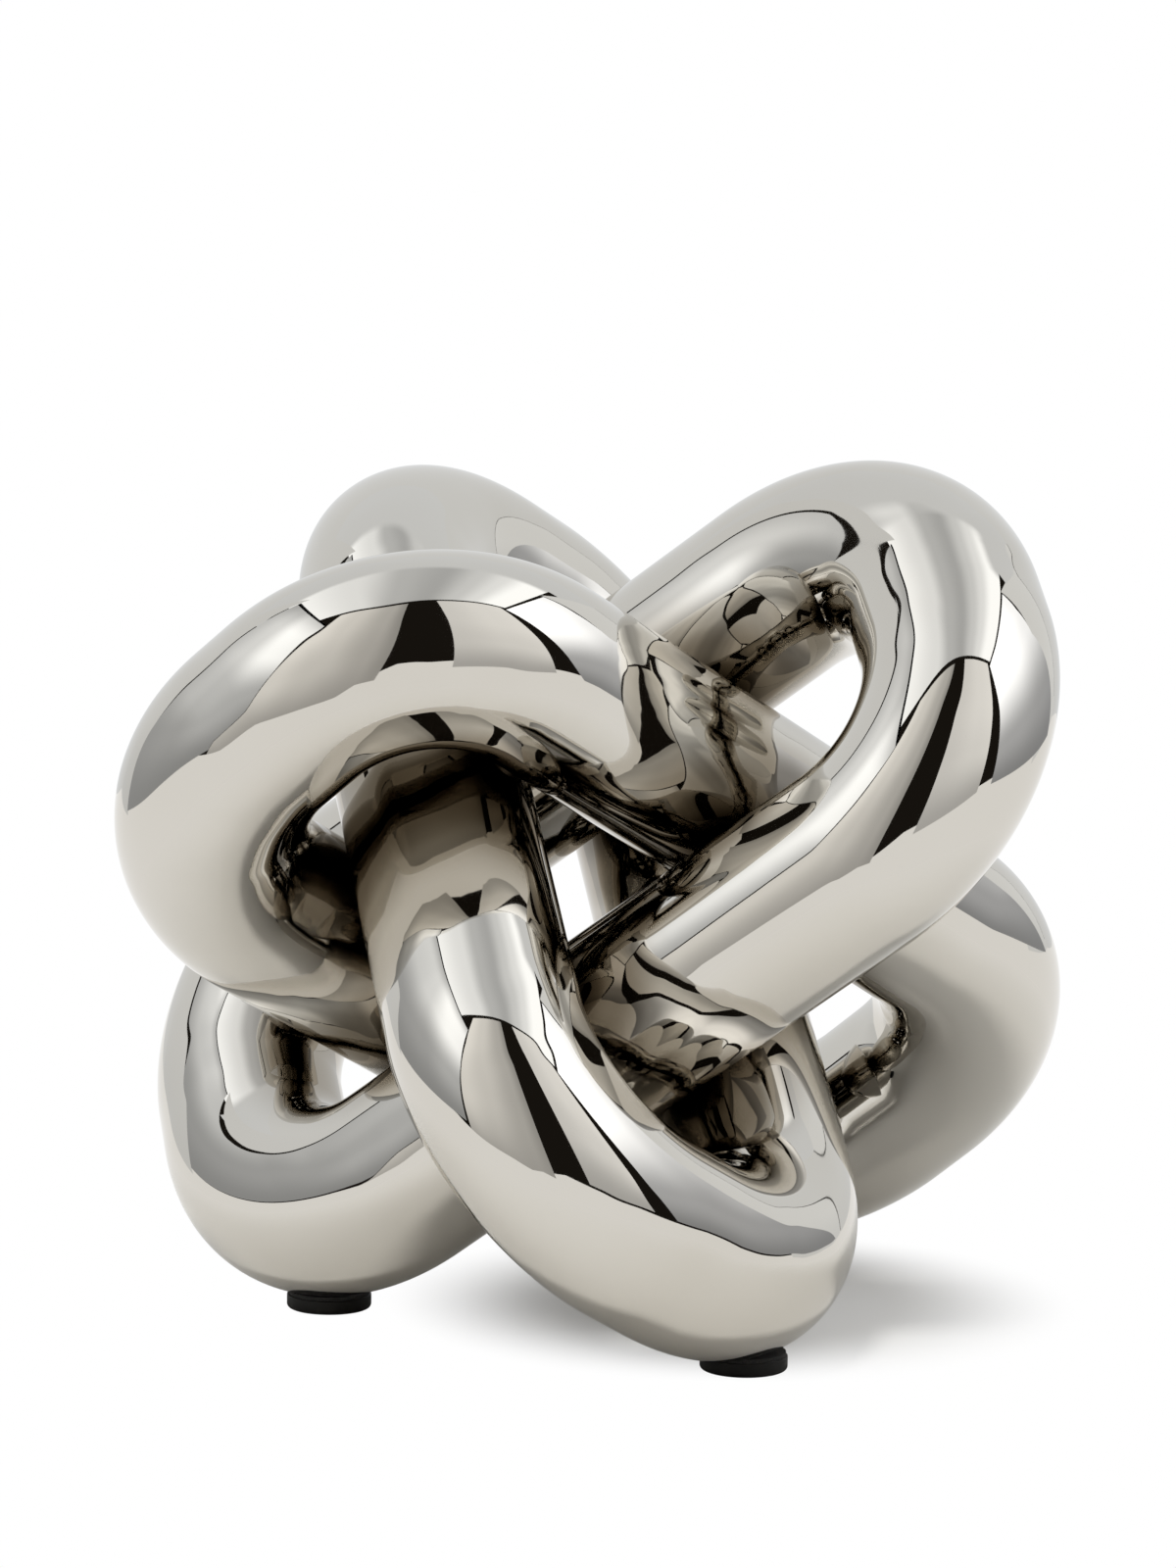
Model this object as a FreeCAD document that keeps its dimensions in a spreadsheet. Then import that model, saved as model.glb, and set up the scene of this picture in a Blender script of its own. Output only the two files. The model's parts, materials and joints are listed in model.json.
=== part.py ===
import FreeCAD, Part
import Sketcher
import math
import os

# Knot sculpture: three closed tube loops, each threaded through its neighbour and lying across the
# other two, so that every straight arm rests against four others. It stands on three stick-on pads.
# Millimetres. +Z is up, -Y faces the viewer, and the origin is under the middle of the whole object,
# on the surface that it stands on.

doc = FreeCAD.newDocument("KnotSculpture")
sheet = doc.addObject("Spreadsheet::Sheet", "Sizes")

sizes = [
    ("tube_diameter", 42.4, "outside of the tube"),
    ("tube_wall", 2.0, "wall of the tube"),
    ("crossing_gap", 0.3, "left between two arms where they cross"),
    ("end_gap", 16.8, "free space between an end bend and the arms that pass inside it"),
    ("end_flat", 10.0, "straight piece in the middle of an end bend"),
    ("loop_lean", 4.4, "degrees that the right loop leans out of square"),
    ("loop_heading", -142.2, "degrees from +X to the left loop's upper end, seen from above"),
    ("left_slide_share", -0.60, "shift of the left loop along itself, as a share of end_gap"),
    ("right_slide_share", 0.34, "the same for the right loop"),
    ("back_slide_share", 0.02, "the same for the back loop"),
    ("sleeve_length", 32.0, "inner sleeve behind a butt joint"),
    ("sleeve_wall", 1.5, "wall of the sleeve"),
    ("sleeve_clearance", 0.1, "between the sleeve and the tube's bore, all round"),
    ("sleeve_chamfer", 0.5, "on the sleeve's outer edges"),
    ("bead_radius", 5.0, "brazed spot between two crossing arms"),
    ("bead_overrun", 0.5, "spare length of a bead's blank inside each tube"),
    ("seat_clearance", 0.05, "between a tube and what is brazed or stuck to it"),
    ("pad_diameter", 19.0, "rubber pad"),
    ("pad_height", 3.2, "rubber pad"),
    ("pad_edge_radius", 0.5, "rounding of the pad's rims"),
    ("foam_rim", 0.4, "step from the pad's edge in to the adhesive foam"),
    ("foam_thickness", 0.8, "adhesive foam before it is pressed"),
    ("foam_left", 0.2, "adhesive foam left between the pad and the tube's lowest point"),
]
for row, (alias, value, note) in enumerate(sizes, start=1):
    sheet.set("A%d" % row, alias)
    sheet.set("B%d" % row, str(value))
    sheet.set("C%d" % row, note)
    sheet.setAlias("B%d" % row, alias)
doc.recompute()


def size(alias):
    return float(getattr(sheet, alias))


# Sizes worked out from the sheet. A loop is a rounded rectangle seen along its normal: u runs along
# its length, v across its width and w out of its plane. Its outline is the middle line of the tube.
tube_radius = size("tube_diameter") / 2
half_width = (size("tube_diameter") + size("crossing_gap")) / math.cos(math.radians(size("loop_lean")))
half_length = half_width + size("tube_diameter") + size("end_gap")
half_flat = size("end_flat") / 2
bend_radius = half_width - half_flat
arm_end = half_length - bend_radius

# The same sizes as rules for the sketches and features.
width_rule = "(Sizes.tube_diameter + Sizes.crossing_gap) / cos(Sizes.loop_lean * 1 deg)"
length_rule = width_rule + " + Sizes.tube_diameter + Sizes.end_gap"
bore_rule = "Sizes.tube_diameter / 2 - Sizes.tube_wall"
sleeve_rule = bore_rule + " - Sizes.sleeve_clearance"
envelope_rule = "Sizes.tube_diameter / 2 + Sizes.seat_clearance"
bead_sag_rule = "Sizes.tube_diameter / 2 - sqrt((Sizes.tube_diameter / 2) ^ 2 - Sizes.bead_radius ^ 2)"
bead_depth_rule = "Sizes.crossing_gap + Sizes.bead_overrun + " + bead_sag_rule
foam_base_rule = "Sizes.pad_height + Sizes.seat_clearance"

loop_names = ["left_loop", "right_loop", "back_loop"]
leans = {"left_loop": 0, "right_loop": size("loop_lean"), "back_loop": 0}
slide_shares = {
    "left_loop": size("left_slide_share"),
    "right_loop": size("right_slide_share"),
    "back_loop": size("back_slide_share"),
}
sides = {"upper": 1, "lower": -1}

# The pads are pressed on by hand, so they sit a little off the lowest points. Shares of the pad's
# radius, along X and Y.
pad_shift_shares = {"left_loop": (0.0, 0.0), "right_loop": (0.5, 0.0), "back_loop": (0.15, 0.2)}

x_axis = FreeCAD.Vector(1, 0, 0)
y_axis = FreeCAD.Vector(0, 1, 0)
z_axis = FreeCAD.Vector(0, 0, 1)
diagonal = FreeCAD.Vector(1, 1, 1)
third_turn = 120
half_turn = 180


class Loop:
    """One loop in the square frame of the knot, before the knot is stood on its pads."""

    def __init__(self, number, name):
        self.name = name
        square = FreeCAD.Rotation(diagonal, third_turn * number)
        self.turn = square.multiply(FreeCAD.Rotation(y_axis, leans[name]))
        self.u = self.turn.multVec(x_axis)
        self.v = self.turn.multVec(y_axis)
        self.centre = self.u * (slide_shares[name] * size("end_gap"))

    def rim_point(self, direction):
        """The point on the outside of the tube that lies furthest in a direction."""
        along_u = direction.dot(self.u)
        along_v = direction.dot(self.v)
        corner = self.u * math.copysign(arm_end, along_u) + self.v * math.copysign(half_flat, along_v)
        bend = (self.u * along_u + self.v * along_v) * (bend_radius / math.hypot(along_u, along_v))
        return self.centre + corner + bend + direction * tube_radius

    def reach(self, direction):
        return self.rim_point(direction).dot(direction)

    def arm_middle(self, side):
        return self.centre + self.v * (half_width * sides[side])


loops = [Loop(number, name) for number, name in enumerate(loop_names)]


def find_up():
    """The direction that is up when the lower ends of the three loops reach equally far down."""
    up = FreeCAD.Vector(diagonal).normalize()
    rounds = 200
    for _ in range(rounds):
        depths = [loop.reach(up * -1) for loop in loops]
        mean = sum(depths) / len(depths)
        for axis, depth in zip([x_axis, y_axis, z_axis], depths):
            up = up - axis * ((depth - mean) / (half_length * len(depths)))
        up.normalize()
    return up


up = find_up()
level = (x_axis - up * x_axis.dot(up)).normalize()
upright = FreeCAD.Rotation(level, up.cross(level), up, "XYZ").inverted()
stand = FreeCAD.Rotation(z_axis, size("loop_heading")).multiply(upright)


def knot_reach(direction):
    """How far the loops reach in a direction of the finished frame, from the middle of the knot."""
    local = stand.inverted().multVec(direction)
    return max(loop.reach(local) for loop in loops)


tube_lift = size("pad_height") + size("foam_left")
knot_middle = FreeCAD.Vector(
    (knot_reach(x_axis * -1) - knot_reach(x_axis)) / 2,
    (knot_reach(y_axis * -1) - knot_reach(y_axis)) / 2,
    knot_reach(z_axis * -1) + tube_lift,
)
knot_place = FreeCAD.Placement(knot_middle, stand)

pieces = []


def keep(item, name, place):
    """Names a finished sub-part, puts it in its place and lists it."""
    item.Label = name
    item.Placement = place
    pieces.append(item)
    return item


def new_sketch(body, name, role):
    plane = [item for item in body.Origin.OriginFeatures if item.Role == role][0]
    sketch = body.newObject("Sketcher::SketchObject", name)
    sketch.AttachmentSupport = (plane, [""])
    sketch.MapMode = "FlatFace"
    return sketch


def set_size(sketch, name, rule, *constraint):
    """Adds one driving dimension to a sketch and binds it to the sheet."""
    number = sketch.addConstraint(Sketcher.Constraint(*constraint))
    sketch.renameConstraint(number, name)
    sketch.setExpression("Constraints." + name, rule)


def add_circle(sketch, name, radius, rule, centre):
    circle = sketch.addGeometry(Part.Circle(centre, z_axis, radius), False)
    set_size(sketch, name, rule, "Radius", circle, radius)
    return circle


def loop_path(body):
    """Middle line of half a loop: arm, bend, end flat, bend, arm."""
    sketch = new_sketch(body, "HalfLoopPath", "XY_Plane")
    centre_u = arm_end
    corner = FreeCAD.Vector(centre_u, half_flat, 0)
    mirror_corner = FreeCAD.Vector(centre_u, -half_flat, 0)
    points = [
        FreeCAD.Vector(0, half_width, 0),
        FreeCAD.Vector(centre_u, half_width, 0),
        FreeCAD.Vector(half_length, half_flat, 0),
        FreeCAD.Vector(half_length, -half_flat, 0),
        FreeCAD.Vector(centre_u, -half_width, 0),
        FreeCAD.Vector(0, -half_width, 0),
    ]
    quarter = math.pi / 2
    upper_arc = Part.ArcOfCircle(Part.Circle(corner, z_axis, bend_radius), 0, quarter)
    lower_arc = Part.ArcOfCircle(Part.Circle(mirror_corner, z_axis, bend_radius), -quarter, 0)
    upper_arm = sketch.addGeometry(Part.LineSegment(points[0], points[1]), False)
    upper_bend = sketch.addGeometry(upper_arc, False)
    end = sketch.addGeometry(Part.LineSegment(points[2], points[3]), False)
    lower_bend = sketch.addGeometry(lower_arc, False)
    lower_arm = sketch.addGeometry(Part.LineSegment(points[4], points[5]), False)
    rules = [
        ("Tangent", upper_arm, 2, upper_bend, 2),
        ("Tangent", upper_bend, 1, end, 1),
        ("Tangent", end, 2, lower_bend, 2),
        ("Tangent", lower_bend, 1, lower_arm, 1),
        ("Horizontal", upper_arm),
        ("Horizontal", lower_arm),
        ("PointOnObject", upper_arm, 1, -2),
        ("PointOnObject", lower_arm, 2, -2),
        ("Equal", upper_bend, lower_bend),
        ("Symmetric", end, 1, end, 2, -1),
    ]
    for rule in rules:
        sketch.addConstraint(Sketcher.Constraint(*rule))
    set_size(sketch, "half_width", width_rule, "DistanceY", -1, 1, upper_arm, 1, half_width)
    set_size(sketch, "half_length", length_rule, "DistanceX", -1, 1, end, 1, half_length)
    set_size(sketch, "end_flat", "Sizes.end_flat", "DistanceY", end, 2, end, 1, size("end_flat"))
    return sketch


def make_half_loop(loop, end):
    """A U of tube: swept solid along half of the loop, then hollowed from both open ends."""
    body = doc.addObject("PartDesign::Body", loop.name + "_" + end + "_half")
    path = loop_path(body)
    section = new_sketch(body, "TubeSection", "YZ_Plane")
    centre = FreeCAD.Vector(half_width, 0, 0)
    circle = add_circle(section, "radius", tube_radius, "Sizes.tube_diameter / 2", centre)
    section.addConstraint(Sketcher.Constraint("PointOnObject", circle, 3, -1))
    set_size(section, "half_width", width_rule, "DistanceX", -1, 1, circle, 3, half_width)
    doc.recompute()
    rod = body.newObject("PartDesign::AdditivePipe", "Rod")
    rod.Profile = section
    rod.Spine = (path, [])
    doc.recompute()
    faces = enumerate(rod.Shape.Faces, start=1)
    open_ends = ["Face%d" % number for number, face in faces if isinstance(face.Surface, Part.Plane)]
    hollow = body.newObject("PartDesign::Thickness", "Hollow")
    hollow.Base = (rod, open_ends)
    hollow.Reversed = True
    hollow.setExpression("Value", "Sizes.tube_wall")
    turn = 0 if end == "upper" else half_turn
    place = FreeCAD.Placement(loop.centre, loop.turn.multiply(FreeCAD.Rotation(z_axis, turn)))
    return keep(body, body.Name, knot_place.multiply(place))


def make_sleeve(loop, arm):
    """Short tube inside an arm, behind the butt joint of the two halves."""
    body = doc.addObject("PartDesign::Body", loop.name + "_" + arm + "_arm_sleeve")
    section = new_sketch(body, "SleeveSection", "YZ_Plane")
    outer_radius = tube_radius - size("tube_wall") - size("sleeve_clearance")
    inner_radius = outer_radius - size("sleeve_wall")
    centre = FreeCAD.Vector(0, 0, 0)
    outer = add_circle(section, "outer_radius", outer_radius, sleeve_rule, centre)
    inner_rule = sleeve_rule + " - Sizes.sleeve_wall"
    inner = add_circle(section, "inner_radius", inner_radius, inner_rule, centre)
    for circle in (outer, inner):
        section.addConstraint(Sketcher.Constraint("Coincident", circle, 3, -1, 1))
    doc.recompute()
    sleeve = body.newObject("PartDesign::Pad", "Sleeve")
    sleeve.Profile = section
    sleeve.Midplane = True
    sleeve.setExpression("Length", "Sizes.sleeve_length")
    doc.recompute()
    rims = []
    for number, edge in enumerate(sleeve.Shape.Edges, start=1):
        if isinstance(edge.Curve, Part.Circle) and edge.Curve.Radius > (outer_radius + inner_radius) / 2:
            rims.append("Edge%d" % number)
    chamfer = body.newObject("PartDesign::Chamfer", "LeadIn")
    chamfer.Base = (sleeve, rims)
    chamfer.setExpression("Size", "Sizes.sleeve_chamfer")
    place = FreeCAD.Placement(loop.arm_middle(arm), loop.turn)
    return keep(body, body.Name, knot_place.multiply(place))


def add_cylinder(name, radius_rule, height_rule, place):
    cylinder = doc.addObject("Part::Cylinder", name)
    cylinder.setExpression("Radius", radius_rule)
    cylinder.setExpression("Height", height_rule)
    cylinder.Placement = place
    return cylinder


def add_cut(name, base, tool):
    cut = doc.addObject("Part::Cut", name)
    cut.Base = base
    cut.Tool = tool
    return cut


def make_bead(loop, arm, other, other_arm):
    """Brazed spot that fills the narrow space where one arm lies across another."""
    name = "bead_%s_%s_on_%s_%s" % (loop.name[:-5], arm, other.name[:-5], other_arm)
    start = loop.arm_middle(arm)
    across = other.arm_middle(other_arm) - start
    normal = loop.u.cross(other.u)
    square = normal.dot(normal)
    foot = start + loop.u * (across.cross(other.u).dot(normal) / square)
    other_foot = other.arm_middle(other_arm) + other.u * (across.cross(loop.u).dot(normal) / square)
    spacing = (other_foot - foot).Length
    local_z = (other_foot - foot).normalize()
    turn = FreeCAD.Rotation(loop.u, local_z.cross(loop.u), local_z, "XYZ")
    middle = (foot + other_foot) / 2
    height_rule = "2 * (%s)" % bead_depth_rule
    blank = add_cylinder(name + "_blank", "Sizes.bead_radius", height_rule, FreeCAD.Placement())
    blank.setExpression("Placement.Base.z", "-(%s)" % bead_depth_rule)
    shape = blank
    for tube_name, side, axis in (("lower_tube", -1, loop.u), ("upper_tube", 1, other.u)):
        direction = turn.inverted().multVec(axis)
        base = FreeCAD.Vector(0, 0, side * spacing / 2) - direction * (size("bead_radius") * 2)
        place = FreeCAD.Placement(base, FreeCAD.Rotation(z_axis, direction))
        tube = add_cylinder(name + "_" + tube_name, envelope_rule, "4 * Sizes.bead_radius", place)
        shape = add_cut(name + "_off_" + tube_name, shape, tube)
    return keep(shape, name, knot_place.multiply(FreeCAD.Placement(middle, turn)))


def pad_centre(loop):
    """Where a pad's middle stands, under the lower end of a loop."""
    lowest = knot_place.multVec(loop.rim_point(up * -1))
    share_x, share_y = pad_shift_shares[loop.name]
    radius = size("pad_diameter") / 2
    return FreeCAD.Vector(lowest.x + share_x * radius, lowest.y + share_y * radius, 0)


def make_pad(loop):
    """Round rubber pad with rounded rims."""
    body = doc.addObject("PartDesign::Body", loop.name + "_pad")
    outline = new_sketch(body, "PadOutline", "XY_Plane")
    radius = size("pad_diameter") / 2
    circle = add_circle(outline, "radius", radius, "Sizes.pad_diameter / 2", FreeCAD.Vector(0, 0, 0))
    outline.addConstraint(Sketcher.Constraint("Coincident", circle, 3, -1, 1))
    doc.recompute()
    disc = body.newObject("PartDesign::Pad", "Disc")
    disc.Profile = outline
    disc.setExpression("Length", "Sizes.pad_height")
    doc.recompute()
    edges = enumerate(disc.Shape.Edges, start=1)
    rims = ["Edge%d" % number for number, edge in edges if isinstance(edge.Curve, Part.Circle)]
    rounding = body.newObject("PartDesign::Fillet", "Rims")
    rounding.Base = (disc, rims)
    rounding.setExpression("Radius", "Sizes.pad_edge_radius")
    return keep(body, body.Name, FreeCAD.Placement(pad_centre(loop), FreeCAD.Rotation()))


def make_foam(loop, half):
    """Adhesive foam between a pad and the tube, pressed to the tube's shape."""
    name = loop.name + "_pad_foam"
    place = FreeCAD.Placement(pad_centre(loop), FreeCAD.Rotation())
    radius_rule = "Sizes.pad_diameter / 2 - Sizes.foam_rim"
    blank = add_cylinder(name + "_blank", radius_rule, "Sizes.foam_thickness", place)
    blank.setExpression("Placement.Base.z", foam_base_rule)
    foam = add_cut(name, blank, half)
    drop = FreeCAD.Vector(0, 0, -size("seat_clearance"))
    return keep(foam, name, FreeCAD.Placement(drop, FreeCAD.Rotation()))


for loop in loops:
    make_half_loop(loop, "upper")
    lower_half = make_half_loop(loop, "lower")
    for arm in sides:
        make_sleeve(loop, arm)
    make_pad(loop)
    doc.recompute()
    make_foam(loop, lower_half)

for number, loop in enumerate(loops):
    other = loops[(number + 1) % len(loops)]
    for arm in sides:
        for other_arm in sides:
            make_bead(loop, arm, other, other_arm)

doc.recompute()

for item in doc.Objects:
    if "Invalid" in item.State or "Error" in item.State:
        raise RuntimeError("%s failed: %s" % (item.Name, item.State))
for item in pieces:
    if item.Shape.isNull() or not item.Shape.isValid():
        raise RuntimeError("%s has no valid shape" % item.Label)

os.makedirs("parts", exist_ok=True)
for item in pieces:
    item.Shape.exportStep(os.path.join("parts", item.Label + ".step"))
    box = item.Shape.BoundBox
    print("%-34s %2d solid %9.1f mm3  z %7.2f to %7.2f" % (
        item.Label, len(item.Shape.Solids), item.Shape.Volume, box.ZMin, box.ZMax))
print("loop length %.1f, width %.1f, bend radius %.1f" % (
    2 * (half_length + tube_radius), 2 * (half_width + tube_radius), bend_radius))
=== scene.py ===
import json
import math

import bmesh
import bpy
from mathutils import Matrix, Vector


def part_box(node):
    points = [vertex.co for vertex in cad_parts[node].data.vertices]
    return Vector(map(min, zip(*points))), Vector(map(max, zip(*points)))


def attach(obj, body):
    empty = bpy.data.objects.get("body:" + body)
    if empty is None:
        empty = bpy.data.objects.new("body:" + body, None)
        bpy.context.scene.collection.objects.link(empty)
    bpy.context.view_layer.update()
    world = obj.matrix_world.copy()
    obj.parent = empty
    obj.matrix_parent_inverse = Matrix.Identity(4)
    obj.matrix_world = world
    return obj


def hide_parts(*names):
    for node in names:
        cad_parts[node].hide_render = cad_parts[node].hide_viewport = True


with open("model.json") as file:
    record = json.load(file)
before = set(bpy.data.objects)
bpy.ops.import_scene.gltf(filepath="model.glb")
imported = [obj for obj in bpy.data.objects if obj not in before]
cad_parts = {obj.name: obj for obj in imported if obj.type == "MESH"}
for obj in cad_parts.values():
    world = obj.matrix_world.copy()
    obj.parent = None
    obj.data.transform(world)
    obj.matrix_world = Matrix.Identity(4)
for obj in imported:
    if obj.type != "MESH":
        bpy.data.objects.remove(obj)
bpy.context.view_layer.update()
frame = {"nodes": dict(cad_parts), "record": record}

mm = 0.001
mergeDistance = 0.001 * mm
nodes = frame["nodes"]
loopNames = ["left_loop", "right_loop", "back_loop"]


# Small helpers for meshes and node trees

def meshObject(name, bm):
    mesh = bpy.data.meshes.new(name)
    bm.to_mesh(mesh)
    bm.free()
    piece = bpy.data.objects.new(name, mesh)
    bpy.context.scene.collection.objects.link(piece)
    return piece


def onlyVertices(items):
    return [item for item in items if isinstance(item, bmesh.types.BMVert)]


def onlyEdges(items):
    return [item for item in items if isinstance(item, bmesh.types.BMEdge)]


def newMaterial(name):
    material = bpy.data.materials.new(name)
    material.use_nodes = True
    return material, material.node_tree, material.node_tree.nodes["Principled BSDF"]


def addNode(tree, kind, **values):
    node = tree.nodes.new(kind)
    for key, value in values.items():
        setattr(node, key, value)
    return node


def setInputs(node, **values):
    for key, value in values.items():
        node.inputs[key.replace("_", " ")].default_value = value


# An input takes a link from another node or a plain value
def feed(tree, socket, value):
    if isinstance(value, bpy.types.NodeSocket):
        tree.links.new(value, socket)
    else:
        socket.default_value = value


def opaque(colour):
    return (*colour, 1)


def noiseNode(tree, scale, detail=0.0, roughness=0.5, stretch=(1, 1, 1)):
    coords = addNode(tree, "ShaderNodeTexCoord")
    mapping = addNode(tree, "ShaderNodeMapping")
    setInputs(mapping, Scale=stretch)
    noise = addNode(tree, "ShaderNodeTexNoise")
    setInputs(noise, Scale=scale, Detail=detail, Roughness=roughness)
    tree.links.new(coords.outputs["Object"], mapping.inputs["Vector"])
    tree.links.new(mapping.outputs["Vector"], noise.inputs["Vector"])
    return noise.outputs["Fac"]


def rangeNode(tree, source, low, high, toLow, toHigh, curve="LINEAR"):
    node = addNode(tree, "ShaderNodeMapRange", interpolation_type=curve)
    setInputs(node, From_Min=low, From_Max=high, To_Min=toLow, To_Max=toHigh)
    tree.links.new(source, node.inputs["Value"])
    return node.outputs["Result"]


# Each stop is a place and a grey or a colour
def rampNode(tree, source, stops):
    node = addNode(tree, "ShaderNodeValToRGB")
    ramp = node.color_ramp
    ramp.interpolation = "EASE"
    while len(ramp.elements) < len(stops):
        ramp.elements.new(1.0)
    for element, (place, tone) in zip(ramp.elements, stops):
        element.position = place
        element.color = opaque(tone if isinstance(tone, tuple) else (tone, tone, tone))
    tree.links.new(source, node.inputs["Fac"])
    return node.outputs["Color"]


def mixColours(tree, share, first, second, blend="MIX"):
    mix = addNode(tree, "ShaderNodeMix", data_type="RGBA", blend_type=blend)
    for name, value in (("Factor", share), ("A", first), ("B", second)):
        feed(tree, mix.inputs[name], value)
    return mix.outputs["Result"]


def mixShaders(tree, share, first, second, output):
    mix = addNode(tree, "ShaderNodeMixShader")
    for place, source in enumerate((share, first, second)):
        tree.links.new(source, mix.inputs[place])
    tree.links.new(mix.outputs["Shader"], tree.nodes[output].inputs["Surface"])


def mathNode(tree, operation, first, second):
    node = addNode(tree, "ShaderNodeMath", operation=operation)
    feed(tree, node.inputs[0], first)
    feed(tree, node.inputs[1], second)
    return node.outputs[0]


def bumpNode(tree, height, depth, strength=1.0, under=None):
    bump = addNode(tree, "ShaderNodeBump")
    setInputs(bump, Distance=depth)
    feed(tree, bump.inputs["Strength"], strength)
    tree.links.new(height, bump.inputs["Height"])
    if under:
        tree.links.new(under, bump.inputs["Normal"])
    return bump.outputs["Normal"]


# Mirror plate over hand-worked tube: shallow waves, a few dents, and painted shade (a darker base colour) with
# stronger waves down in the seams. The seam stops run from 0 in a seam to 1 out in the open.

nickel = {
    "colour": (0.645, 0.617, 0.563),
    "hazeColour": (0.618, 0.586, 0.528),
    "haze": {"scale": 14.0, "detail": 3.0},
    "hazeSpan": (0.45, 0.75),
    "roughness": (0.016, 0.040),
    "smudge": {"scale": 38.0, "detail": 4.0, "roughness": 0.6},
    "smudgeSpan": (0.35, 0.75),
    # Painted shade: the base colour darkens down in the seams, where the tubes shade each other
    "seamShadeColour": [(0.0, (0.060, 0.048, 0.033)), (0.10, (0.105, 0.084, 0.057)), (0.30, (0.205, 0.165, 0.112))],
    "seamShadeReach": [(0.0, 0.0), (0.38, 0.36), (0.90, 1.0)],
    "waveScale": 24.0,
    "waveDepth": 0.26 * mm,
    "dentScale": 46.0,
    "dentSpan": (0.45, 0.85),
    "dentDepth": 0.20 * mm,
    "weldScale": 52.0,
    "weldDepth": 0.50 * mm,
    "weldFade": (0.0, 0.75, 1.0, 0.02),
}


def nickelMaterial():
    material, tree, shader = newMaterial("polishedNickel")
    gap = addNode(tree, "ShaderNodeAttribute", attribute_name="seamGap").outputs["Fac"]

    haze = rangeNode(tree, noiseNode(tree, **nickel["haze"]), *nickel["hazeSpan"], 0.0, 1.0)
    plate = mixColours(tree, haze, opaque(nickel["colour"]), opaque(nickel["hazeColour"]))
    # Painted shade: the seam ramp darkens the plate colour near the other loops
    seamShade = rampNode(tree, gap, nickel["seamShadeColour"])
    colour = mixColours(tree, rampNode(tree, gap, nickel["seamShadeReach"]), seamShade, plate)
    tree.links.new(colour, shader.inputs["Base Color"])
    setInputs(shader, Metallic=1.0)

    smudge = rangeNode(tree, noiseNode(tree, **nickel["smudge"]), *nickel["smudgeSpan"], *nickel["roughness"])
    tree.links.new(smudge, shader.inputs["Roughness"])

    normal = bumpNode(tree, noiseNode(tree, nickel["waveScale"]), nickel["waveDepth"])
    dents = noiseNode(tree, nickel["dentScale"])
    dents = rangeNode(tree, dents, *nickel["dentSpan"], 0.0, 1.0, "SMOOTHERSTEP")
    normal = bumpNode(tree, dents, nickel["dentDepth"], under=normal)
    strength = rangeNode(tree, gap, *nickel["weldFade"], "SMOOTHSTEP")
    normal = bumpNode(tree, noiseNode(tree, nickel["weldScale"]), nickel["weldDepth"], strength, normal)
    tree.links.new(normal, shader.inputs["Normal"])
    return material


# Metals that one noise makes uneven, the same all over the piece

drawnSteel = {
    "name": "drawnSteel",
    "colour": (0.50, 0.49, 0.47),
    "roughness": (0.30, 0.48),
    "grain": {"scale": 900.0, "detail": 2.0, "roughness": 0.6, "stretch": (0.1, 1, 1)},
    "depth": 0.02 * mm,
    "strength": 0.6,
}
platedBraze = {
    "name": "platedBraze",
    "colour": (0.34, 0.29, 0.22),
    "roughness": (0.22, 0.34),
    "grain": {"scale": 240.0},
    "depth": 0.04 * mm,
    "strength": 0.7,
}
grainSpan = (0.3, 0.7)


def metalMaterial(settings):
    material, tree, shader = newMaterial(settings["name"])
    setInputs(shader, Base_Color=opaque(settings["colour"]), Metallic=1.0)
    grain = noiseNode(tree, **settings["grain"])
    tree.links.new(rangeNode(tree, grain, *grainSpan, *settings["roughness"]), shader.inputs["Roughness"])
    tree.links.new(bumpNode(tree, grain, settings["depth"], settings["strength"]), shader.inputs["Normal"])
    return material


rubber = {
    "colour": [(0.4, (0.0050, 0.0045, 0.0036)), (0.75, (0.012, 0.011, 0.0092))],
    "specular": 0.25,
    "roughness": (0.42, 0.62),
    "mottle": {"scale": 300.0, "detail": 4.0, "roughness": 0.6},
    "grain": {"scale": 2600.0, "detail": 2.0},
    "depth": 0.03 * mm,
    "strength": 0.5,
}


def rubberMaterial():
    material, tree, shader = newMaterial("blackRubber")
    mottle = noiseNode(tree, **rubber["mottle"])
    tree.links.new(rampNode(tree, mottle, rubber["colour"]), shader.inputs["Base Color"])
    tree.links.new(rangeNode(tree, mottle, *grainSpan, *rubber["roughness"]), shader.inputs["Roughness"])
    setInputs(shader, Specular_IOR_Level=rubber["specular"])
    grain = noiseNode(tree, **rubber["grain"])
    tree.links.new(bumpNode(tree, grain, rubber["depth"], rubber["strength"]), shader.inputs["Normal"])
    return material


foam = {
    "colour": [(0.1, (0.006, 0.006, 0.0055)), (0.8, (0.030, 0.029, 0.027))],
    "roughness": 0.9,
    "cells": 3200.0,
    "depth": 0.06 * mm,
    "strength": 0.6,
}


def foamMaterial():
    material, tree, shader = newMaterial("adhesiveFoam")
    cells = addNode(tree, "ShaderNodeTexVoronoi")
    setInputs(cells, Scale=foam["cells"])
    tree.links.new(addNode(tree, "ShaderNodeTexCoord").outputs["Object"], cells.inputs["Vector"])
    depth = cells.outputs["Distance"]
    tree.links.new(rampNode(tree, depth, foam["colour"]), shader.inputs["Base Color"])
    setInputs(shader, Roughness=foam["roughness"])
    tree.links.new(bumpNode(tree, depth, foam["depth"], foam["strength"]), shader.inputs["Normal"])
    return material


finish = {
    "polished_nickel": nickelMaterial(),
    "sleeve_steel": metalMaterial(drawnSteel),
    "braze": metalMaterial(platedBraze),
    "rubber": rubberMaterial(),
    "adhesive_foam": foamMaterial(),
}
print("finishes ready")


# The tube loops. Each half is swept along its own half of the loop, as the tube is bent

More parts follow.
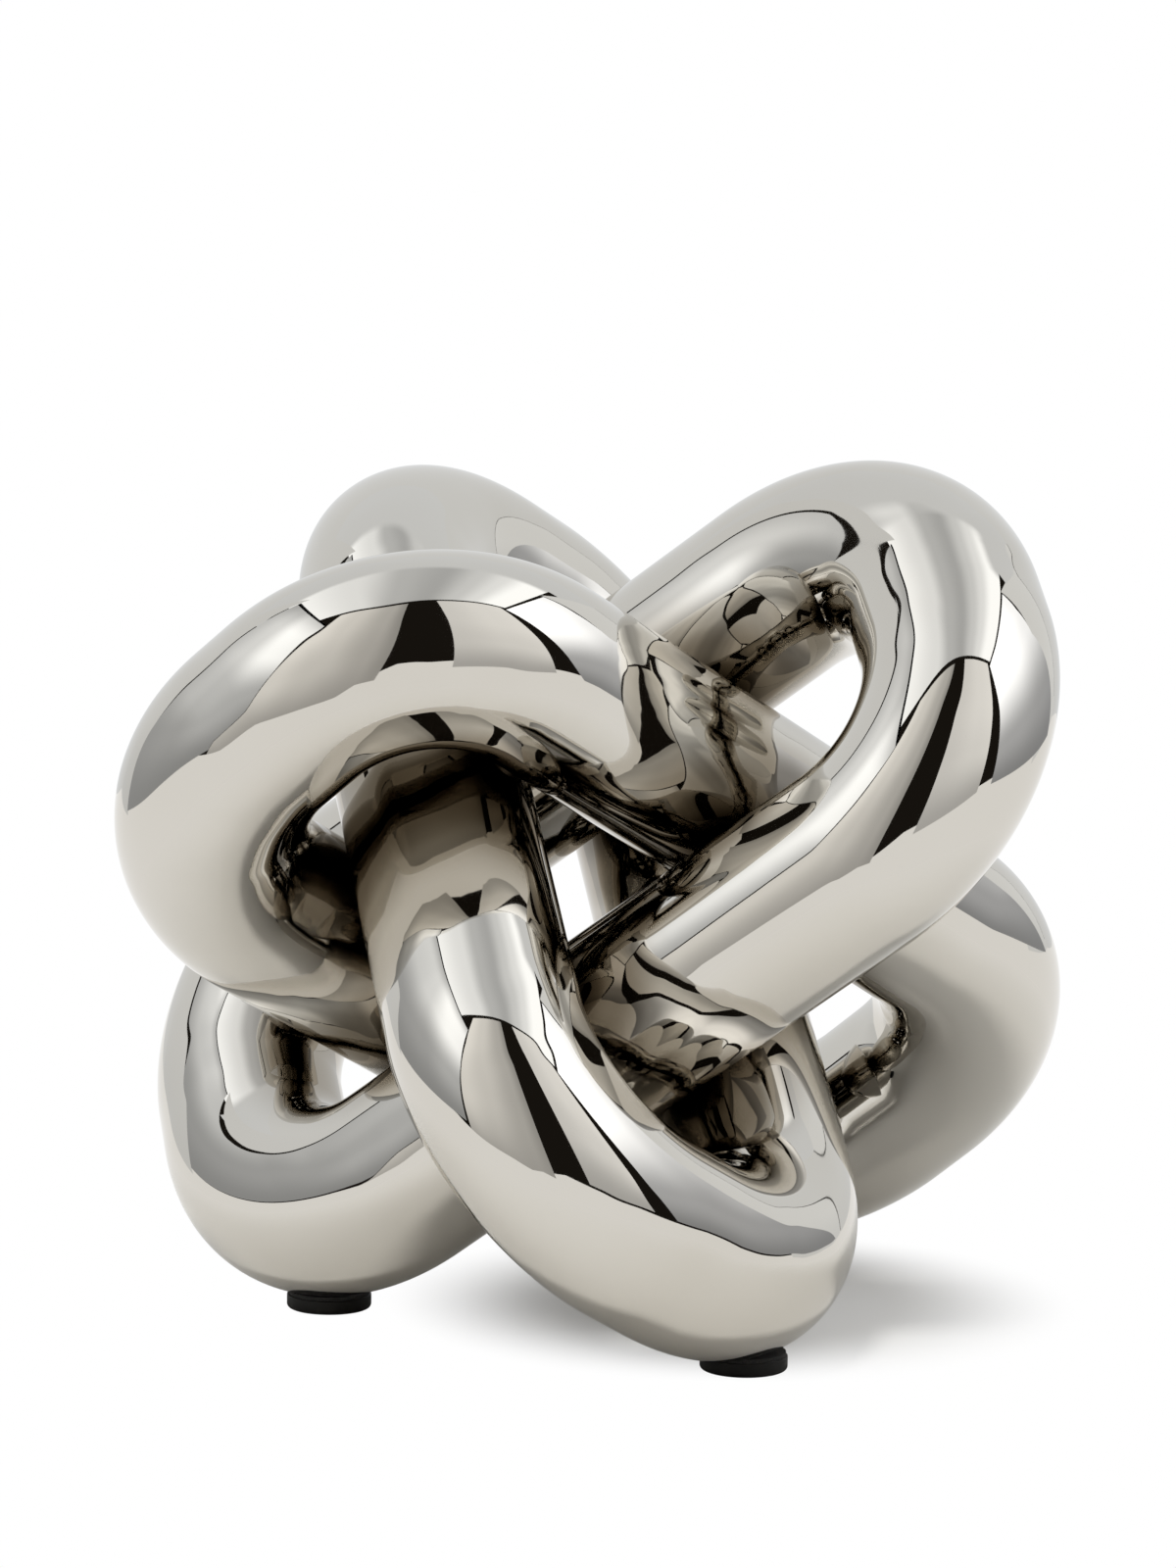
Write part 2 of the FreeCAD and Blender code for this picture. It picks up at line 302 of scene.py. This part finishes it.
tube = {
    "diameter": 42.4 * mm,
    "wall": 2.0 * mm,
    "endFlat": 10.0 * mm,  # straight length between the two bends of an end
    "sides": 128,
    "armSteps": 32,
    "bendSteps": 56,
    "flatSteps": 4,
    "sharpAngle": math.radians(40),
    "seamDepth": 25.0 * mm,  # how far from a seam the painted shade and the stronger waves reach
}


def boxMiddle(node):
    low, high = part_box(node)
    return (Vector(low) + Vector(high)) / 2


def meshMiddle(node):
    faces = nodes[node].data.polygons
    return sum((face.center * face.area for face in faces), Vector()) / sum(face.area for face in faces)


# Place and size of one loop, read from its sleeves and upper half. In its own frame the arms run along x
def loopFrame(name):
    upperArm = boxMiddle(name + "_upper_arm_sleeve")
    lowerArm = boxMiddle(name + "_lower_arm_sleeve")
    centre = (upperArm + lowerArm) / 2
    across = (upperArm - lowerArm).normalized()
    along = meshMiddle(name + "_upper_half") - centre
    along = (along - across * along.dot(across)).normalized()
    reach = max((vertex.co - centre).dot(along) for vertex in nodes[name + "_upper_half"].data.vertices)
    turn = Matrix((along, across, along.cross(across))).transposed()
    place = Matrix.Translation(centre) @ turn.to_4x4()
    halfWidth = (upperArm - lowerArm).length / 2
    bendRadius = halfWidth - tube["endFlat"] / 2
    return {
        "place": place,
        "inverse": place.inverted(),
        "halfWidth": halfWidth,
        "bendRadius": bendRadius,
        "armEnd": reach - tube["diameter"] / 2 - bendRadius,
    }


loops = {name: loopFrame(name) for name in loopNames}


# Free distance from a point to the outside of one loop's tube
def tubeGap(point, loop):
    local = loop["inverse"] @ point
    overArm = abs(local.x) - loop["armEnd"]
    overFlat = abs(local.y) - tube["endFlat"] / 2
    outward = math.hypot(max(overArm, 0), max(overFlat, 0)) + min(max(overArm, overFlat), 0)
    return math.hypot(outward - loop["bendRadius"], local.z) - tube["diameter"] / 2


# Stores how clear each point is of the other two loops: 0 in a seam, 1 out in the open
# The painted shade in the seams and the stronger weld waves follow this value
def markSeams(piece, name):
    others = [loops[other] for other in loopNames if other != name]
    layer = piece.data.attributes.new("seamGap", "FLOAT", "POINT")
    for vertex in piece.data.vertices:
        gap = min(tubeGap(vertex.co, other) for other in others)
        layer.data[vertex.index].value = min(max(gap / tube["seamDepth"], 0.0), 1.0)


def extrudeRing(bm, ring, step, count):
    for _ in range(count):
        out = bmesh.ops.extrude_edge_only(bm, edges=ring)["geom"]
        corners = onlyVertices(out)
        bmesh.ops.translate(bm, verts=corners, vec=step / count)
        ring = [edge for edge in onlyEdges(out) if all(vertex in corners for vertex in edge.verts)]
    return ring


def spinRing(bm, ring, centre, count):
    out = bmesh.ops.spin(bm, geom=ring, cent=centre, axis=(0, 0, 1), angle=math.radians(-90),
                         steps=count, use_merge=False)
    return onlyEdges(out["geom_last"])


# One U of tube, from the middle of one arm round the end bend to the middle of the other
def loopHalf(name, end):
    loop = loops[name]
    bm = bmesh.new()
    turn = Matrix.Translation((0, loop["halfWidth"], 0)) @ Matrix.Rotation(math.radians(90), 4, "Y")
    bmesh.ops.create_circle(bm, cap_ends=False, segments=tube["sides"], radius=tube["diameter"] / 2, matrix=turn)
    arm = Vector((loop["armEnd"], 0, 0))
    flat = Vector((0, -tube["endFlat"], 0))
    bendCentre = arm - flat / 2
    ring = extrudeRing(bm, bm.edges[:], arm, tube["armSteps"])
    ring = spinRing(bm, ring, bendCentre, tube["bendSteps"])
    ring = extrudeRing(bm, ring, flat, tube["flatSteps"])
    ring = spinRing(bm, ring, bendCentre + flat, tube["bendSteps"])
    extrudeRing(bm, ring, -arm, tube["armSteps"])
    bmesh.ops.remove_doubles(bm, verts=bm.verts, dist=mergeDistance)
    bmesh.ops.recalc_face_normals(bm, faces=bm.faces)
    bmesh.ops.solidify(bm, geom=bm.faces[:], thickness=tube["wall"])
    bmesh.ops.recalc_face_normals(bm, faces=bm.faces)
    for face in bm.faces:
        face.smooth = True
    for edge in bm.edges:
        if len(edge.link_faces) == 2 and edge.calc_face_angle() > tube["sharpAngle"]:
            edge.smooth = False
    if end == "lower":
        bmesh.ops.rotate(bm, verts=bm.verts, matrix=Matrix.Rotation(math.pi, 3, "Z"))
    bmesh.ops.transform(bm, matrix=loop["place"], verts=bm.verts)
    piece = meshObject("%sHalf_%s" % (name, end), bm)
    piece.data.materials.append(finish["polished_nickel"])
    markSeams(piece, name)
    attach(piece, "root")
    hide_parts("%s_%s_half" % (name, end))
    return piece


for loopName in loopNames:
    for end in ("upper", "lower"):
        half = loopHalf(loopName, end)
        print(half.name, "faces", len(half.data.polygons))


# Rubber pads and the adhesive foam that holds them

pad = {"sides": 96, "lowerRim": 0.9 * mm, "upperRim": 0.25 * mm, "rimSteps": 5}


def rubberPad(name):
    low, high = (Vector(corner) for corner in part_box(name + "_pad"))
    middle = (low + high) / 2
    radius = (high.x - low.x) / 2
    bm = bmesh.new()
    place = Matrix.Translation((middle.x, middle.y, low.z))
    bmesh.ops.create_circle(bm, cap_ends=True, segments=pad["sides"], radius=radius, matrix=place)
    raised = onlyVertices(bmesh.ops.extrude_face_region(bm, geom=bm.faces[:])["geom"])
    bmesh.ops.translate(bm, verts=raised, vec=(0, 0, high.z - low.z))
    bmesh.ops.recalc_face_normals(bm, faces=bm.faces)
    for height, width in ((low.z, pad["lowerRim"]), (high.z, pad["upperRim"])):
        rim = [edge for edge in bm.edges if all(abs(vertex.co.z - height) < 0.01 * mm for vertex in edge.verts)]
        bmesh.ops.bevel(bm, geom=rim, offset=width, offset_type="OFFSET", segments=pad["rimSteps"],
                        profile=0.5, affect="EDGES", material=-1)
    for face in bm.faces:
        face.smooth = abs(face.normal.z) < 0.99  # the round side and rims, not the two flats
    piece = meshObject(name + "Pad", bm)
    piece.data.materials.append(finish["rubber"])
    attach(piece, "root")
    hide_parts(name + "_pad")


# The foam keeps the shape that the tube presses it to
def foamDisc(name):
    node = name + "_pad_foam"
    bm = bmesh.new()
    bm.from_mesh(nodes[node].data)
    bmesh.ops.remove_doubles(bm, verts=bm.verts, dist=mergeDistance)
    bmesh.ops.dissolve_limit(bm, angle_limit=math.radians(1), verts=bm.verts, edges=bm.edges)
    bmesh.ops.recalc_face_normals(bm, faces=bm.faces)
    for face in bm.faces:
        face.smooth = False
    piece = meshObject(name + "PadFoam", bm)
    piece.data.materials.append(finish["adhesive_foam"])
    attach(piece, "root")
    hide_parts(node)


for loopName in loopNames:
    rubberPad(loopName)
    foamDisc(loopName)
print("pads ready")


# Hidden sleeves and brazed beads keep their own solids

for entry in frame["record"]["subparts"]:
    if entry["material_slot"] in ("sleeve_steel", "braze"):
        solid = nodes[entry["node"]].data
        solid.materials.clear()
        solid.materials.append(finish[entry["material_slot"]])
print("sleeves and beads dressed")


# Floor. It fades to plain white away from the object: soon for the camera, further out for the metal

floor = {
    "corners": [(-0.62, -0.33), (-0.10, -0.36), (0.10, -1.15), (1.20, -1.15), (3.0, 5.0), (-3.0, 5.0),
                (-1.0, 0.1)],
    "colour": (0.77, 0.755, 0.72),
    "roughness": 0.9,
    "middle": (0.030, 0.010, 0.0),
    "cameraFade": (0.035, 0.080, 0.16, 1.0),  # from and to a distance, from and to a share of white
    "metalFade": (0.08, 0.26, 0.0, 1.0),
}


def floorMaterial():
    material, tree, shader = newMaterial("paleFloor")
    setInputs(shader, Base_Color=opaque(floor["colour"]), Roughness=floor["roughness"], Specular_IOR_Level=0.0)
    away = addNode(tree, "ShaderNodeVectorMath", operation="DISTANCE")
    away.inputs[1].default_value = floor["middle"]
    tree.links.new(addNode(tree, "ShaderNodeTexCoord").outputs["Object"], away.inputs[0])
    light = addNode(tree, "ShaderNodeLightPath")
    shares = []
    for ray, fade in (("Is Camera Ray", "cameraFade"), ("Is Glossy Ray", "metalFade")):
        faded = rangeNode(tree, away.outputs["Value"], *floor[fade], "SMOOTHSTEP")
        shares.append(mathNode(tree, "MULTIPLY", light.outputs[ray], faded))
    white = addNode(tree, "ShaderNodeEmission")
    mixShaders(tree, mathNode(tree, "ADD", *shares), shader.outputs["BSDF"], white.outputs["Emission"],
               "Material Output")
    return material


def addFloor():
    bm = bmesh.new()
    corners = [bm.verts.new((x, y, 0)) for x, y in floor["corners"]]
    bmesh.ops.contextual_create(bm, geom=corners)
    bmesh.ops.recalc_face_normals(bm, faces=bm.faces)
    piece = meshObject("floor", bm)
    if piece.data.polygons[0].normal.z < 0:
        piece.data.flip_normals()
    piece.data.materials.append(floorMaterial())


addFloor()


# Light tent. Glowing panels and one dark bar stand round the object, and the narrow gaps between them
# give the metal its thin dark lines. The camera looks through the slit between the two front panels.
# A panel starts at a corner and has a side and a rise. Its outline and the stops of its glow are shares
# of these. The glow runs across it and fades towards one even level along its rise.

square = [(0.0, 0.0), (1.0, 0.0), (1.0, 1.0), (0.0, 1.0)]
evenGlow = [(0.0, 1.0), (1.0, 1.0)]
noGlow = [(0.0, 0.0), (1.0, 0.0)]
panels = {
    "frontLeft": {
        "corner": (-0.61, -0.45, -0.12), "side": (0.585, 0, 0), "rise": (0, 0, 1.08),
        "outline": [(0.0, 0.0), (1.0, 0.0), (1.0, 1.0), (0.27, 1.0), (0.24, 0.60), (0.13, 0.32)],
        "across": [(0.27, 1.0), (0.60, 0.82), (0.89, 0.55), (1.0, 0.36)],
        "level": 0.40, "fade": [(0.0, 1.0), (0.3, 0.25), (0.6, 0.0)],
        "glow": 1.10, "tint": (1.01, 1.0, 0.98),
    },
    "frontRight": {
        "corner": (0.13, -0.45, 0.045), "side": (0.44, 0, 0), "rise": (0, 0, 0.935), "outline": square,
        "across": [(0.0, 0.82), (0.5, 0.95), (1.0, 1.0)],
        "level": 0.50, "fade": [(0.0, 1.0), (0.25, 0.2), (0.5, 0.0)],
        "glow": 1.10, "tint": (1.0, 1.0, 1.0),
    },
    "rightSoftbox": {
        "corner": (0.65, -0.47, 0.02), "side": (0, 1.02, 0), "rise": (0, 0, 0.98),
        "outline": [(0.13, 0.02), (0.98, 0.0), (0.66, 0.46), (0.63, 0.70), (0.64, 1.0), (0.0, 1.0)],
        "across": [(0.0, 1.0), (0.35, 1.0), (0.62, 0.80), (1.0, 0.60)],
        "level": 0.17, "fade": [(0.0, 1.0), (0.2, 0.85), (0.55, 0.1), (0.75, 0.0)],
        "glow": 1.95, "tint": (0.96, 0.99, 1.05),
    },
    "rightRear": {
        "corner": (0.66, 0.20, 0.0), "side": (0.34, 0.80, 0), "rise": (0, 0, 1.05), "outline": square,
        "across": evenGlow, "level": 0.9, "fade": [(0.0, 1.0), (0.3, 0.0)],
        "glow": 0.92, "tint": (0.98, 1.0, 1.02),
    },
    "back": {
        "corner": (1.0, 1.01, 0.0), "side": (-2.05, 0, 0), "rise": (0, 0, 1.05), "outline": square,
        "across": evenGlow, "level": 0.95, "fade": [(0.0, 1.0), (0.3, 0.0)],
        "glow": 0.84, "tint": (0.98, 1.0, 1.02),
    },
    "leftRear": {
        "corner": (-0.90, 1.0, 0.0), "side": (0.415, -0.785, 0), "rise": (-0.14, 0, 1.05), "outline": square,
        "across": evenGlow, "level": 0.9, "fade": [(0.0, 1.0), (0.3, 0.0)],
        "glow": 0.84, "tint": (0.98, 1.0, 1.02),
    },
    "leftSoftbox": {
        "corner": (-0.455, 0.20, 0.02), "side": (0, -0.72, 0), "rise": (-0.12, 0, 0.82),
        "outline": [(0.0, 0.0), (0.76, 0.0), (0.87, 0.35), (1.0, 1.0), (0.02, 1.0), (0.035, 0.40), (0.0, 0.22)],
        "across": [(0.0, 0.47), (0.35, 0.63), (0.62, 0.95), (1.0, 0.85)],
        "level": 0.21, "fade": [(0.0, 1.0), (0.2, 0.8), (0.5, 0.1), (0.75, 0.05), (1.0, 0.55)],
        "glow": 1.78, "tint": (0.97, 1.0, 1.04),
    },
    "leftBar": {
        "corner": (-0.573, 0.19, 0.83), "side": (0, -0.71, 0), "rise": (-0.006, 0, 0.036), "outline": square,
        "across": noGlow, "level": 0.0, "fade": noGlow,
        "glow": 0.0, "tint": (1.0, 1.0, 1.0),
    },
    "overhead": {
        "corner": (-0.78, -0.44, 1.02), "side": (1.41, 0, 0), "rise": (0, 0.84, 0), "outline": square,
        "across": [(0.0, 0.80), (0.33, 0.62), (0.47, 0.38), (0.60, 0.32), (0.71, 0.48), (0.80, 0.62),
                   (0.90, 0.86)],
        "level": 0.46, "fade": [(0.0, 0.0), (0.86, 0.0), (1.0, 1.0)],
        "glow": 1.85, "tint": (0.97, 1.0, 1.04),
    },
    "overheadRear": {
        "corner": (-1.06, 0.40, 1.02), "side": (2.06, 0, 0), "rise": (0, 0.61, 0), "outline": square,
        "across": evenGlow, "level": 1.0, "fade": noGlow,
        "glow": 0.85, "tint": (0.97, 1.0, 1.04),
    },
}


def glowMaterial(name, settings):
    material, tree, shader = newMaterial(name)
    tree.nodes.remove(shader)
    shares = addNode(tree, "ShaderNodeSeparateXYZ")
    tree.links.new(addNode(tree, "ShaderNodeTexCoord").outputs["UV"], shares.inputs[0])
    across = rampNode(tree, shares.outputs["X"], settings["across"])
    fade = rampNode(tree, shares.outputs["Y"], settings["fade"])
    faded = mixColours(tree, fade, across, opaque((settings["level"],) * 3))
    emission = addNode(tree, "ShaderNodeEmission")
    setInputs(emission, Strength=settings["glow"])
    tinted = mixColours(tree, 1.0, faded, opaque(settings["tint"]), "MULTIPLY")
    tree.links.new(tinted, emission.inputs["Color"])
    tree.links.new(emission.outputs["Emission"], tree.nodes["Material Output"].inputs["Surface"])
    return material


# The metal and the floor see a panel, and the camera doesn't
def addPanel(name, settings):
    corner, side, rise = (Vector(settings[key]) for key in ("corner", "side", "rise"))
    bm = bmesh.new()
    shares = bm.loops.layers.uv.new("UVMap")
    corners = [bm.verts.new(corner + side * across + rise * up) for across, up in settings["outline"]]
    face = bm.faces.new(corners)
    for loop, share in zip(face.loops, settings["outline"]):
        loop[shares].uv = share
    piece = meshObject(name, bm)
    piece.data.materials.append(glowMaterial(name + "Glow", settings))
    piece.visible_camera = False


for name, settings in panels.items():
    addPanel(name, settings)


# Soft lamp from the front left. It lays the shadow to the right behind the object, and the metal doesn't
# mirror it

lamp = {"place": (-0.09, -0.42, 0.70), "width": 0.14, "power": 3.7}


def addLamp():
    data = bpy.data.lights.new("softLamp", "AREA")
    data.size = lamp["width"]
    data.energy = lamp["power"]
    light = bpy.data.objects.new("softLamp", data)
    light.location = lamp["place"]
    light.rotation_euler = Vector(lamp["place"]).to_track_quat("Z", "Y").to_euler()
    light.visible_glossy = False
    light.visible_camera = False
    bpy.context.scene.collection.objects.link(light)


addLamp()


# The room outside the tent is dark to everything but the camera, which sees plain white

room = {"dark": (0.012, 0.010, 0.008), "white": (1, 1, 1)}


def addRoom():
    world = bpy.data.worlds.new("studio")
    world.use_nodes = True
    tree = world.node_tree
    dark = tree.nodes["Background"]
    setInputs(dark, Color=opaque(room["dark"]))
    white = addNode(tree, "ShaderNodeBackground")
    setInputs(white, Color=opaque(room["white"]), Strength=1.0)
    light = addNode(tree, "ShaderNodeLightPath")
    mixShaders(tree, light.outputs["Is Camera Ray"], dark.outputs["Background"], white.outputs["Background"],
               "World Output")
    bpy.context.scene.world = world


addRoom()
print("studio ready")


# Camera, as in the photograph: a long lens a little above the knot, rolled by under a degree

view = {
    "place": (-0.0028, -1.1902, 0.2704),
    "pitch": 7.24,
    "roll": 0.765,
    "heading": 0.144,
    "lens": 123.75,
    "sensor": 36.0,
}


def addCamera():
    data = bpy.data.cameras.new("camera")
    data.sensor_fit = "VERTICAL"
    data.sensor_height = view["sensor"]
    data.lens = view["lens"]
    camera = bpy.data.objects.new("camera", data)
    camera.location = view["place"]
    turns = (90 - view["pitch"], -view["roll"], view["heading"])
    camera.rotation_euler = [math.radians(angle) for angle in turns]
    bpy.context.scene.collection.objects.link(camera)
    bpy.context.scene.camera = camera


addCamera()
bpy.context.scene.view_settings.view_transform = "Standard"
